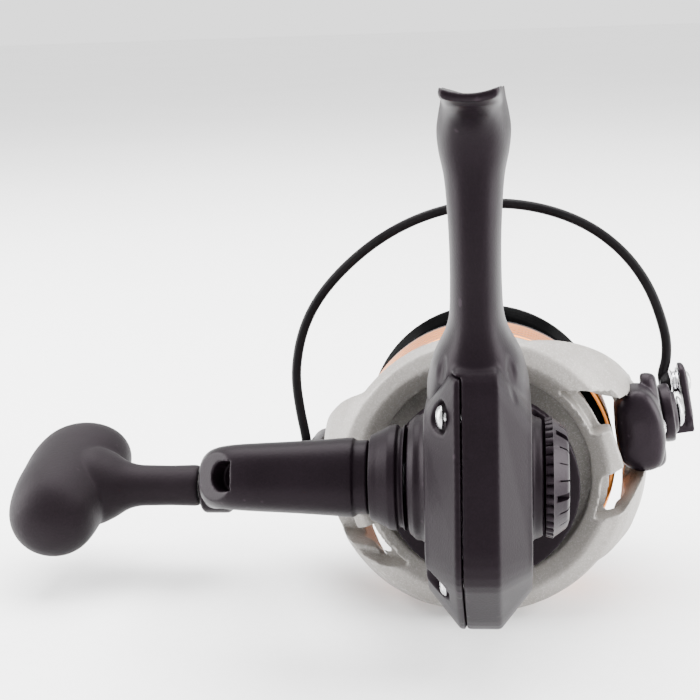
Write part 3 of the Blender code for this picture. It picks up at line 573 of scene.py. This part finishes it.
def crossed_screw(name, place, head_r, base, top, centre, body, node, slots=2):
    """A domed screw head with a driver recess. base and top are stations along X."""
    rise = top - base
    head = turned(name, place, "X",
                  [(0, top), (head_r * 0.45, top - rise * 0.08), (head_r * 0.82, top - rise * 0.32),
                   (head_r, base + rise * 0.3), (head_r, base), (head_r * 0.45, base),
                   (head_r * 0.45, base - rise * 2.5), (0, base - rise * 2.5)],
                  abs(rise) * 0.18, 64, centre)
    low, high = sorted((top - rise * 0.55, top + rise))
    reach, thin = head_r * 0.62, head_r * 0.13
    for along, across in ((reach, thin), (thin, reach))[:slots]:
        corners = ((low, -along, -across), (high, along, across))
        carved(head, box("blade", place, *[[c + d for c, d in zip(corner, centre)]
                                           for corner in corners]))
    show(sharp_smooth(head), "steel", body, node)


def build_cap():
    """The right-hand shaft cap: a ribbed rim and a slanted face with lines and notches."""
    ribs, fine = 36, 6
    rows = []
    # station, radius, depth of the ribs
    for x, r, depth in ((12.3, 10.4, 0.0), (12.4, 11.3, 0.5), (13.6, 11.6, 0.7), (13.8, 11.6, 0.0),
                        (14.0, 11.3, 0.0), (16.1, 9.8, 0.0), (16.5, 9.3, 0.0), (16.8, 8.4, 0.0)):
        row = []
        for i in range(ribs * fine):
            a = math.tau * i / (ribs * fine)
            reach = r - depth * max(0.0, math.cos(ribs * a)) ** 2
            row.append(DRIVE @ Vector((x, reach * math.cos(a), reach * math.sin(a))))
        rows.append(row)
    cap = solid("cap", rows)
    line, notch, tick = (0.16, 7.2, 10.6, 14.6), (0.65, 8.6, 11.0, 13.9), (0.10, 9.2, 10.6, 14.6)
    pattern = (line, notch, line, tick)
    count = 20
    marks = []
    for i in range(count):
        half, inner, outer, floor = pattern[i % len(pattern)]
        here = DRIVE @ turn(i * 360 / count + 4, "X")
        marks.append(box("mark", here, (floor, -half, inner), (18, half, outer)))
    carved(cap, joined("marks", marks))
    show(sharp_smooth(cap, 30), "dark_plastic", "frame", "shaft_cap")


# ---------------------------------------------------------------- handle


def build_handle():
    """The collar at the cover, and the round bar that bends into the flat crank."""
    collar = turned("handle_collar_ring", DRIVE, "X",
                    [(10.4, -14.2), (9.6, -14.9), (9.6, -15.4), (10.3, -15.8), (10.1, -17.2),
                     (8.9, -19.4), (8.2, -21.0), (3.3, -21.0), (3.3, -14.2)], 0.3, 128)
    show(collar, "charcoal_paint", "drive", "handle_collar")
    # x, y, heading from -X towards +Y, half thickness, half height
    stations = ((-21.3, 0.0, 0, 6.9, 6.9), (-21.6, 0.0, 0, 7.2, 7.2), (-24.1, 0.0, 0, 7.2, 7.2),
                (-24.5, 0.0, 0, 7.8, 7.7), (-30.0, 0.0, 0, 7.6, 7.35), (-36.0, 0.0, 0, 7.3, 7.0),
                (-44.5, 0.0, 0, 6.9, 6.6), (-48.5, 0.6, 25, 6.2, 6.3), (-50.8, 3.6, 55, 5.1, 6.0),
                (-52.4, 9.0, 78, 4.2, 5.7), (-54.4, 18.0, 81, 3.8, 5.6),
                (-57.2, 32.0, 80, 3.6, 5.5), (-60.6, 46.0, 79, 3.4, 5.4))
    rows = []
    for x, y, heading, half_thick, half_high in dense(stations, 5):
        c, s = math.cos(math.radians(heading)), math.sin(math.radians(heading))
        rows.append([CRANK @ Vector((x + u * s, y + u * c, v))
                     for u, v in superellipse(half_thick, half_high, 2.5)])
    # the elbow's slanted face, with a D-shaped recess in it
    face = CRANK @ shift(-49.4, -4.7, 0.0) @ turn(-42, "Z")
    slant = box("slant", face, (-14, -9, -12), (14, 0, 12))
    recess = plate("recess", face, [(2.2, -2.9), (2.2, 2.9), *arc((-0.6, 0), 2.9, 90, 270, 12)],
                   "Y", -1.0, 3.2, 0.3, 0.05)
    bar = fused("handle_bar",
                [solid("arm", rows),
                 turned("knob_boss", CRANK, "X", [(0, -57.4), (5.4, -57.4), (6.3, -58.4),
                                                  (6.3, -63.8), (5.6, -64.6), (0, -64.6)], 0.4,
                        96, (0, CRANK_REACH, 0))],
                voxel=0.25, steps=3, cutters=[slant, recess])
    show(bar, "charcoal_paint", "drive", "handle_arm")


def build_knob():
    """A soft T-shaped grip on a flared neck."""
    # along the bar, half width across the crank's end, half height, middle
    stations = ((-19.7, 0.6, 0.6, -97.4), (-19.5, 2.6, 2.5, -97.4), (-18.8, 4.9, 4.8, -97.4),
                (-17.0, 7.4, 7.3, -97.3), (-14.0, 9.3, 9.4, -97.2), (-10.0, 10.2, 10.4, -97.1),
                (-5.0, 10.7, 10.5, -96.9), (0.0, 11.0, 10.2, -96.5), (5.0, 11.4, 9.8, -96.0),
                (9.0, 11.5, 9.4, -95.4), (13.0, 10.7, 8.5, -95.0), (16.2, 8.7, 6.7, -94.7),
                (18.0, 6.0, 4.5, -94.5), (18.6, 3.4, 2.6, -94.5), (18.8, 0.8, 0.6, -94.5))
    sides = 72
    rows = [[KNOB @ Vector((middle + wide * math.cos(math.tau * k / sides), y,
                            high * math.sin(math.tau * k / sides))) for k in range(sides)]
            for y, wide, high, middle in dense(stations, 6)]
    neck = turned("neck", KNOB, "X", [(0, -65.0), (4.8, -65.0), (4.6, -72.0), (4.75, -79.5),
                                      (5.5, -82.3), (7.4, -85.2), (9.1, -88.8), (9.2, -93.0),
                                      (0, -93.0)], 1.2)
    grip = fused("knob_grip_cover", [solid("bar", rows), neck], voxel=0.36, steps=10,
                 cutters=[rod("bore", KNOB, "X", 3.3, -93.0, -60.0)])
    show(grip, "soft_touch", "knob", "knob_grip")


# ---------------------------------------------------------------- rotor


def arm_station(s):
    """Y, radius, and the reach ahead of and behind the middle in degrees, at s from the rim."""
    knots = ((0.0, 1.4, 29.6, 74.0, 50.0), (0.14, 4.0, 31.4, 64.0, 45.0),
             (0.30, 9.0, 33.7, 49.0, 36.0), (0.46, 14.5, 34.9, 38.0, 28.0),
             (0.60, 19.2, 35.3, 31.0, 22.0), (0.72, 24.0, 35.4, 25.0, 18.0),
             (0.86, 31.0, 35.4, 19.0, 14.5), (1.0, 38.5, 35.4, 15.0, 12.5))
    for (s0, *first), (s1, *second) in zip(knots, knots[1:]):
        if s <= s1:
            w = (s - s0) / (s1 - s0)
            return [p + (q - p) * w for p, q in zip(first, second)]
    return knots[-1][1:]


def arm_shell(place, rows=56, columns=60):
    """The arm's skin from the rim to the tip, its side edges rolled in. Its thickness leaves room
    for the cup's wall near the rim and for the spool's skirt further on."""
    thinnest, thickest = 2.4, 4.8
    cup_room, skirt_room, cup_end = 28.9, 30.7, 11.5
    edge, roll = 0.86, 0.9
    skins = []
    for inner in (False, True):
        skin = []
        for i in range(rows + 1):
            y, radius, ahead, behind = arm_station(i / rows)
            row = []
            for j in range(columns + 1):
                t = 2 * j / columns - 1
                a = math.radians(t * (ahead if t > 0 else behind))
                if inner:
                    room = cup_room if y < cup_end else skirt_room
                    r = radius - min(thickest, max(thinnest, radius - room))
                else:
                    r = radius - roll * max(0.0, (abs(t) - edge) / (1 - edge)) ** 2
                row.append(place @ Vector((r * math.cos(a), y, r * math.sin(a))))
            skin.append(row)
        skins.append(skin)
    return solid("arm", [top + low[::-1] for top, low in zip(*skins)])


def window_cutters(place):
    """Openings between the legs and the web, cut along the shaft. The first pair goes through the
    rim's face outside a thin lip, the second only through the arm, clear of the cup."""
    cutters = []
    # radius of the lip, start, ends of the upper and lower opening, lift of the upper one's edge
    for lip, start, upper_end, lower_end, lift in ((24.5, -1.0, 6.4, 6.4, 1.6),
                                                   (26.5, 6.2, 15.3, 20.0, 0.0)):
        upper = arc((0, 0), lip, 37 + 4 * lift, 15, 12)
        upper += [(27.6, 7.0), (29.4, -2.6), (40, -1.6), (40, 8.5), (34.0, 10.4 + lift),
                  (23.0, 14.4 + lift)]
        lower = arc((0, 0), lip, -7, -29, 12)
        lower += [(27.6, -11.4), (32.9, -6.8), (37.0, -2.6), (37.0, -1.0), (30.6, -1.0)]
        cutters.append(plate("upper", place, upper, "Y", start, upper_end, 0.7, 0.01))
        cutters.append(plate("lower", place, lower, "Y", start, lower_end, 0.7, 0.01))
    return cutters


def both_arms():
    """The place and the name of each of the rotor's two arms."""
    return (ROTOR, "right"), (ROTOR @ turn(180, "Y"), "left")


def build_rotor():
    """A cup with a rounded rim and two arms with windows, cast as one."""
    cup = turned("cup", ROTOR, "Y",
                 [(25.8, 14.8), (25.8, 6.8), (29.4, 6.4), (30.6, 4.4), (29.4, 1.2), (26.4, 0.0),
                  (25.6, 0.2), (22.5, 2.6), (22.4, 3.6), (23.8, 4.6), (23.8, 11.9), (4.3, 11.9),
                  (4.3, 15.4), (7.6, 15.4), (8.4, 14.0), (24.2, 14.0), (24.9, 14.8)], 0.35, 160)
    parts = [cup]
    cutters = []
    for place, _ in both_arms():
        parts.append(arm_shell(place))
        cutters += window_cutters(place)
        parts.append(rod("boss", place, "X", 7.8, 31.4, 35.0, PIVOT))
        cutters.append(rod("pivot_hole", place, "X", 1.5, 29, 41, PIVOT, 32))
        cutters.append(rod("cover_hole", place, "X", 1.2, 29, 41, HOOD_SCREW, 32))
    rotor = fused("rotor_body", parts, voxel=0.36, steps=4, cutters=cutters)
    show(rotor, "silver_paint", "rotor", "rotor")


# The hoods' outlines along the arm (Y, Z), and those of the bulbs behind them (X, Z). The right
# one has a horn over the leading leg.
HOOD_OUTLINES = {
    "right": [(15.8, -5.5), (15.6, 0), (16.4, 7.0), (18.0, 11.6), (20.4, 13.2), (23.2, 11.4),
              (28.0, 7.8), *arc((34.5, 0), 6.9, 72, -72, 16), (26.0, -8.2), (20.0, -8.6),
              (17.0, -7.6)],
    "left": arc((24.6, 0), 8.4, 112, 248, 18) + arc((34.5, 0), 6.6, -68, 68, 18),
}
BULB_OUTLINES = {
    "right": [(28.9, -4.4), (32.5, -7.2), (37.6, -6.6), (39.2, -1.0), (39.1, 5.6), (37.2, 10.4),
              (33.8, 12.0), (29.4, 9.4), (28.8, 2.0)],
    "left": [(30.0, -5.6), (35.0, -6.8), (38.4, -5.0), (39.1, 0), (38.4, 5.0), (35.0, 6.8),
             (30.0, 5.6)],
}


def build_arm_covers():
    """Bulbous hoods over the arms' ends, each with its screw, and the bail's pivot screws."""
    rise = ((35.7, 0.5), (36.1, 0.0), (37.2, 0.0), (38.4, 0.8), (39.0, 2.2), (39.2, 4.6))
    swell = ((18.8, 0.3), (18.4, 0.0), (13.2, 0.2), (11.4, 1.2), (10.4, 3.0), (9.8, 6.2))
    for place, word in both_arms():
        dome = domed("dome", place, HOOD_OUTLINES[word], "X", rise, 1.6)
        back = domed("back", place, BULB_OUTLINES[word], "Y", swell, 2.2)
        hood = fused("arm_hood_" + word, [dome, back], voxel=0.24, steps=6, cutters=[
            rod("pivot", place, "X", 4.9, 34, 43, PIVOT),
            rod("hole", place, "X", 1.1, 29, 43, HOOD_SCREW, 32)])
        combined(hood, "DIFFERENCE", [rod("sink", place, "X", 2.6, 38.1, 43, HOOD_SCREW)],
                 "MANIFOLD")
        show(sharp_smooth(hood, 50), "dark_plastic", "rotor", "arm_cover_" + word)
        crossed_screw("hood_screw_" + word, place, 2.2, 38.3, 40.0, HOOD_SCREW, "rotor",
                      "arm_cover_screw_" + word)
        crossed_screw("pivot_screw_" + word, place, 3.4, 43.6, 45.0, PIVOT, "rotor",
                      "bail_pivot_screw_" + word, 1)


# ---------------------------------------------------------------- bail


def bail_path():
    """The wire's middle line, from the roller round to the foot."""
    # degrees from the right pivot, radius, Y
    knots = ((5.6, 42.1, 9.0), (9.0, 42.5, 9.0), (13.0, 44.3, 9.2), (18.0, 46.0, 9.6),
             (24.0, 47.4, 10.2), (35.0, 49.8, 11.4), (46.0, 51.4, 12.6), (58.0, 52.1, 13.5),
             (76.0, 51.9, 14.0), (96.0, 50.9, 14.0), (118.0, 49.6, 13.0), (138.0, 48.7, 11.0),
             (153.0, 46.4, 8.8), (164.0, 43.7, 6.6), (171.5, 42.1, 5.1), (177.0, 41.6, 4.2),
             (180.0, 41.5, 4.0), (182.8, 41.55, 4.0))
    return [Vector((r * math.cos(math.radians(a)), y, r * math.sin(math.radians(a))))
            for a, r, y in dense(knots, 12)]


def tube(name, place, path, radius, sides=28):
    """A round bar along a path."""
    rows = []
    side = Vector((0, 1, 0))
    last = len(path) - 1
    for i, point in enumerate(path):
        ahead = (path[min(i + 1, last)] - path[max(i - 1, 0)]).normalized()
        across = ahead.cross(side).normalized()
        up = across.cross(ahead)
        rows.append([place @ (point + (across * math.cos(math.tau * k / sides)
                                       + up * math.sin(math.tau * k / sides)) * radius)
                     for k in range(sides)])
    return solid(name, rows)


def build_bail():
    """The arm with the roller's ear, the foot at the other side, the wire and the roller."""
    ear = (0, *ROLLER)
    arm = fused("bail_arm_hood",
                [plate("arm", BAIL, arc((0, 0), 6.6, 60, 300) + [(7.4, -5.4), (7.4, -1.0)], "X",
                       39.8, 42.3, 1.0, 0.8),
                 turned("hub", BAIL, "X", [(0, 43.3), (4.2, 43.3), (4.9, 42.6), (4.9, 41.0),
                                           (0, 41.0)], 0.3),
                 plate("bridge", BAIL, [(2.5, -6.2), (7.9, -6.2), (8.1, -2.4), (2.3, -2.4)], "X",
                       39.8, 47.0, 0.6, 0.4),
                 domed("ear", BAIL, arc(ROLLER, 4.5, -70, 130)
                       + arc((4.9, -3.3), 3.0, 190, 300, 12), "X",
                       ((45.4, 0.2), (45.7, 0.0), (46.4, 0.2), (46.9, 1.0), (47.2, 2.6)), 1.0)],
                voxel=0.2, steps=5, cutters=[
                    rod("hub_bore", BAIL, "X", 1.5, 38, 44.5, sides=32),
                    rod("roller_bore", BAIL, "X", 1.3, 44.8, 49, ear, 32)])
    show(arm, "dark_plastic", "bail", "bail_arm")
    foot = fused("bail_foot_hood",
                 [plate("foot", BAIL,
                        arc((0, 0), 4.7, 100, 270) + arc((4.4, -1.0), 3.2, -70, 100, 12), "X",
                        -42.2, -39.8, 1.0, 0.7),
                  turned("hub", BAIL, "X", [(0, -43.3), (3.8, -43.3), (4.4, -42.7), (4.4, -41.0),
                                            (0, -41.0)], 0.3),
                  plate("knuckle", BAIL, [(1.9, -3.6), (6.1, -3.6), (6.1, 2.2), (1.9, 2.2)], "X",
                        -43.5, -39.9, 0.8, 0.6)],
                 voxel=0.2, steps=5, cutters=[rod("bore", BAIL, "X", 1.5, -46, -38, sides=32)])
    show(foot, "dark_plastic", "bail", "bail_foot")
    cone = turned("cone", BAIL, "X", [(0, 43.3), (3.3, 43.3), (3.0, 42.5), (1.9, 41.2), (0, 40.7)],
                  0.3, 64, ear)
    wire = fused("bail_wire_loop", [tube("loop", BAIL, bail_path(), 1.15), cone], voxel=0.16,
                 steps=2)
    show(wire, "black_anodised", "bail", "bail_wire", look=WIRE_LOOK)
    roller = turned("roller_wheel", BAIL, "X",
                    [(3.5, 45.2), (3.3, 44.8), (2.6, 44.5), (2.6, 44.1), (3.3, 43.7), (3.5, 43.5),
                     (1.3, 43.5), (1.3, 45.2)], 0.15, 96, ear)
    show(sharp_smooth(roller), "chrome", "line_roller", "line_roller")
    crossed_screw("roller_cap_screw", BAIL, 2.3, 47.0, 48.1, ear, "bail", "roller_screw", 1)


# ---------------------------------------------------------------- spool and drag


def build_spool():
    """The black spool, open behind, and its gold skirt with thin grooves."""
    spool = turned("spool_body", SHAFT, "Y",
                   [(15.4, 49.4), (23.6, 49.9), (26.6, 49.6), (27.6, 48.7), (27.6, 47.8),
                    (25.6, 46.0), (19.4, 44.4), (19.4, 30.8), (27.4, 29.8), (28.2, 29.2),
                    (28.2, 27.4), (18.0, 27.4), (18.0, 36.0), (7.0, 36.0), (7.0, 28.4),
                    (4.2, 28.4), (4.2, 37.8), (13.6, 37.8), (13.6, 46.8), (15.4, 46.8)], 0.35, 192)
    show(sharp_smooth(spool), "black_anodised", "spool", "spool")
    crest, floor = 28.4, 27.85
    profile = [(27.3, 27.1), (28.1, 27.1), (crest, 26.8)]
    for groove in (24.6, 22.4, 20.2, 18.0):
        profile += [(crest, groove + 0.28), (floor, groove + 0.2), (floor, groove - 0.2),
                    (crest, groove - 0.28)]
    profile += [(crest, 15.6), (28.0, 15.2), (27.3, 15.2)]
    skirt = turned("skirt_band", SHAFT, "Y", profile, 0.1, 192)
    show(sharp_smooth(skirt), "gold_anodised", "spool", "spool_skirt")


def build_drag_knob():
    """The fluted knob at the front, with a bar across its face to turn it by."""
    flutes, fine = 12, 16
    rows = []
    # station, radius of the crests, depth of the flutes
    for y, crest, depth in dense(((50.3, 13.4, 0), (50.6, 14.6, 0), (51.2, 15.9, 0.2),
                                  (52.2, 16.5, 0.9), (54.8, 16.5, 1.2), (57.4, 16.5, 0.9),
                                  (59.0, 15.6, 0.2), (60.2, 13.2, 0), (60.8, 11.0, 0),
                                  (61.0, 8.8, 0)), 4):
        row = []
        for i in range(flutes * fine):
            a = math.tau * i / (flutes * fine)
            r = crest - depth * (0.5 + 0.5 * math.tanh(4 * (math.cos(flutes * a) + 0.1)))
            row.append(SHAFT @ Vector((r * math.sin(a), y, r * math.cos(a))))
        rows.append(row)
    bar = plate("bar", SHAFT, [(-13.4, 56.5), (13.4, 56.5), (12.6, 62.6), (9.5, 63.9),
                               (-9.5, 63.9), (-12.6, 62.6)], "Z", -2.6, 2.6, 1.2, 0.9)
    knob = fused("drag_knob_cap",
                 [solid("body", rows), bar, rod("boss", SHAFT, "Y", 9.4, 45.6, 52.0)],
                 voxel=0.26, steps=3, cutters=[rod("bore", SHAFT, "Y", 2.8, 40, 62.5)])
    show(knob, "dark_plastic", "drag_knob", "drag_knob")


# ---------------------------------------------------------------- carried-over CAD nodes


# The first word found in a node's name gives its look, unless the whole name has one of its own.
WORD_LOOKS = {"bearing": "steel", "clutch": "steel", "retainer": "zinc", "washer": "steel",
              "plate": "steel", "rod": "steel", "axle": "steel", "shaft": "steel",
              "spindle": "steel", "screw": "steel", "gear": "zinc", "pinion": "brass",
              "nut": "brass", "slider": "zinc", "bush": "white_resin", "clip": "dark_plastic"}
NAME_LOOKS = {"oscillation_gear": "white_resin", "drag_retainer": "steel",
              "clutch_retainer": "zinc", "drag_washer_1": "carbon", "drag_washer_2": "carbon",
              "drag_washer_3": "carbon"}


def dress_nodes():
    for name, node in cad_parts.items():
        found = [look for word, look in WORD_LOOKS.items() if word in name]
        slot = NAME_LOOKS.get(name) or next(iter(found), None)
        if slot:
            for place in node.material_slots:
                place.material = LOOKS[slot].material


# ---------------------------------------------------------------- setting, light and camera


FLOOR_HALF, FLOOR_GAP = 7.0, 0.0002
AIM = (-0.02, 0.03, -0.06)
# name, place, size, power
LAMPS = (("left", (-0.75, 0.06, 0.12), (0.55, 0.9), 24),
         ("right", (0.75, 0.06, 0.12), (0.55, 0.9), 24),
         ("top", (0.0, 0.25, 0.85), (1.2, 0.8), 36))
WORLD_STRENGTH = 1.9
EYE = (0.0062, -0.265, 0.0156)
HEADING, ROLL, PITCH = 5.9405, 1.9386, 76.9424
LENS, SENSOR = 76.0, 36


def build_stage():
    """A wide pale floor under the reel."""
    work = bmesh.new()
    bmesh.ops.create_grid(work, x_segments=24, y_segments=24, size=FLOOR_HALF)
    for vert in work.verts:
        vert.co.z = CAD_BOX[0][2] - FLOOR_GAP
    floor = from_bmesh("floor", work)
    paper = Look("paper", ((0.90, 0.90, 0.90), (0.93, 0.93, 0.93)), 0.0, (0.75, 0.85), 400, 0.01,
                 patches=6)
    floor.data.materials.append(paper.material)


def build_light():
    """A white surround, with a wide soft lamp at each side and one above."""
    world = bpy.data.worlds.new("studio")
    world.use_nodes = True
    surround = world.node_tree.nodes["Background"]
    surround.inputs["Color"].default_value = (1, 1, 1, 1)
    surround.inputs["Strength"].default_value = WORLD_STRENGTH
    bpy.context.scene.world = world
    for name, place, size, power in LAMPS:
        data = bpy.data.lights.new(name, "AREA")
        data.shape = "RECTANGLE"
        data.size, data.size_y = size
        data.energy = power
        lamp = added(name, data)
        lamp.location = place
        lamp.rotation_euler = (Vector(AIM) - Vector(place)).to_track_quat("-Z", "Y").to_euler()


def build_camera():
    """From behind and a little above, as in the photo."""
    data = bpy.data.cameras.new("camera")
    data.lens = LENS
    data.sensor_width = SENSOR
    camera = added("camera", data)
    camera.matrix_world = shift(*EYE) @ turn(HEADING, "Z") @ turn(ROLL, "Y") @ turn(PITCH, "X")
    bpy.context.scene.camera = camera


build_camera()
build_housing()
build_cover()
for word, (y, z) in COVER_SCREWS.items():
    crossed_screw("cover_head_" + word, SHAFT, 2.2, -5.9, -7.3, (0, y, z), "frame",
                  "cover_screw_" + word)
build_cap()
build_handle()
build_knob()
build_rotor()
build_arm_covers()
build_bail()
build_spool()
build_drag_knob()
dress_nodes()
build_stage()
build_light()
